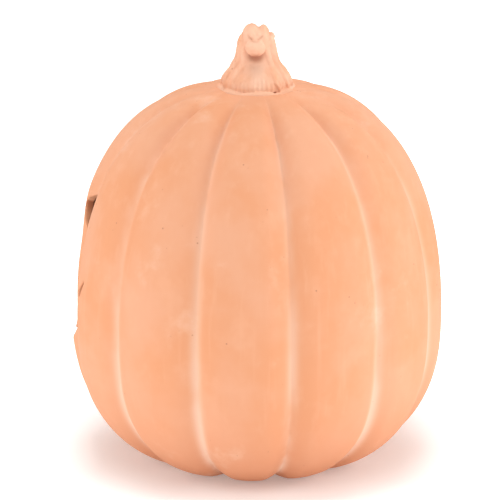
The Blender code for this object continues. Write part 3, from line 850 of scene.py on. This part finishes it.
def moulded_plastic(name, colour, roughness, **constants):
    """Injection-moulded plastic: faint clouding and a fine spark-eroded grain."""
    plastic = Finish(name, **constants)
    clouds = plastic.noise(90, 2, 0.5)
    darker = tuple(channel * 0.92 for channel in colour)
    clouded = plastic.mix(plastic.span(clouds, 0.3, 0.7), darker, colour)
    plastic.feed(plastic.shader.inputs["Base Color"], clouded)
    plastic.feed(plastic.shader.inputs["Roughness"], roughness + clouds * 0.1)
    plastic.feed(plastic.shader.inputs["Normal"], plastic.bump(plastic.noise(2600, 2, 0.6), 0.15, 0.05 * MM))
    return plastic.material


def plated_steel(name, stretch):
    """Nickel-plated steel with drawn or brushed lines."""
    steel = Finish(name, Metallic=1.0)
    lines = steel.noise(1200, 2, 0.6, stretch)
    colour = steel.mix(steel.span(lines, 0.3, 0.7), (0.60, 0.59, 0.56), (0.72, 0.71, 0.68))
    steel.feed(steel.shader.inputs["Base Color"], colour)
    steel.feed(steel.shader.inputs["Roughness"], 0.22 + lines * 0.16)
    steel.feed(steel.shader.inputs["Normal"], steel.bump(lines, 0.1, 0.02 * MM))
    return steel.material


TERRACOTTA = terracotta()
WHITE_PLASTIC = moulded_plastic("white_plastic", (0.86, 0.85, 0.80), 0.32, Specular_IOR_Level=0.5)
BLACK_PLASTIC = moulded_plastic("black_plastic", (0.035, 0.035, 0.037), 0.4)
FLAME_PLASTIC = moulded_plastic("flame_plastic", (0.95, 0.72, 0.36), 0.25, Subsurface_Weight=0.3,
                                Subsurface_Radius=(0.004, 0.002, 0.001))
LED_EPOXY = moulded_plastic("led_epoxy", (0.95, 0.70, 0.28), 0.08, Coat_Weight=0.4)
CELL_STEEL = plated_steel("cell_steel", (1, 0.05, 1))
CONTACT_STEEL = plated_steel("contact_steel", (0.05, 1, 1))


# ---- studio ---------------------------------------------------------------------------------------------
CAMERA_AZIMUTH = math.radians(109)
CAMERA_ELEVATION = math.radians(17)
CAMERA_DISTANCE = 16 * BODY_RADIUS
FOCAL_LENGTH = 213.7
FLOOR_HALF_SIZE = 30
BACKDROP_STRENGTH = 1.0     # as the camera sees the world
FILL_STRENGTH = 0.25        # as the world lights the pumpkin
LIGHT_AIM = Vector((0, 0, 0.13))
# name, azimuth, elevation, distance, size, power
SOFTBOXES = (("left_softbox", 37, 20, 1.1, 0.7, 3.9), ("right_softbox", 181, 20, 1.1, 0.7, 5.5),
             ("front_softbox", 109, 50, 1.3, 0.5, 2.0), ("top_softbox", 109, 84, 1.5, 0.8, 11),
             ("back_softbox", 289, 48, 1.5, 0.8, 4))


def make_camera():
    """A long lens from the pumpkin's left side, aimed a little over its middle."""
    back = Vector((math.sin(CAMERA_AZIMUTH) * math.cos(CAMERA_ELEVATION),
                   -math.cos(CAMERA_AZIMUTH) * math.cos(CAMERA_ELEVATION), math.sin(CAMERA_ELEVATION)))
    right = Vector((math.cos(CAMERA_AZIMUTH), math.sin(CAMERA_AZIMUTH), 0))
    up = back.cross(right)
    middle = Vector((0, 0, 0.918 * BODY_RADIUS))
    place = middle + back * CAMERA_DISTANCE
    aim = middle + up * 0.197 * BODY_RADIUS - right * 0.0345 * BODY_RADIUS
    lens = bpy.data.cameras.new("camera")
    lens.lens = FOCAL_LENGTH
    lens.sensor_width = 36
    lens.clip_end = 50
    camera = scratch_object("camera", lens)
    camera.location = place
    camera.rotation_euler = (aim - place).to_track_quat('-Z', 'Y').to_euler()
    bpy.context.scene.camera = camera


def softbox(name, azimuth, elevation, distance, size, power):
    """A square soft light that faces the pumpkin."""
    light = bpy.data.lights.new(name, 'AREA')
    light.size = size
    light.energy = power
    lamp = scratch_object(name, light)
    turn, rise = math.radians(azimuth), math.radians(elevation)
    away = Vector((math.sin(turn) * math.cos(rise), -math.cos(turn) * math.cos(rise), math.sin(rise)))
    lamp.location = LIGHT_AIM + away * distance
    lamp.rotation_euler = (-away).to_track_quat('-Z', 'Y').to_euler()


def make_studio():
    floor = bpy.data.meshes.new("floor")
    work = bmesh.new()
    bmesh.ops.create_grid(work, x_segments=1, y_segments=1, size=FLOOR_HALF_SIZE)
    work.to_mesh(floor)
    work.free()
    floor.materials.append(floor_paper())
    scratch_object("floor", floor)
    world = bpy.data.worlds.new("studio")
    bpy.context.scene.world = world
    world.use_nodes = True
    nodes, links = world.node_tree.nodes, world.node_tree.links
    seen, cast = nodes["Background"], nodes.new("ShaderNodeBackground")
    seen.inputs["Color"].default_value = cast.inputs["Color"].default_value = (1, 1, 1, 1)
    seen.inputs["Strength"].default_value = BACKDROP_STRENGTH
    cast.inputs["Strength"].default_value = FILL_STRENGTH
    choose = nodes.new("ShaderNodeMixShader")
    links.new(nodes.new("ShaderNodeLightPath").outputs["Is Camera Ray"], choose.inputs[0])
    links.new(cast.outputs[0], choose.inputs[1])
    links.new(seen.outputs[0], choose.inputs[2])
    links.new(choose.outputs[0], nodes["World Output"].inputs["Surface"])
    for box in SOFTBOXES:
        softbox(*box)
    bpy.context.scene.view_settings.view_transform = 'Standard'


make_camera()
make_studio()
make_shell()
make_stem()
make_cup()
make_flame()
make_led()
finish_cad_nodes()
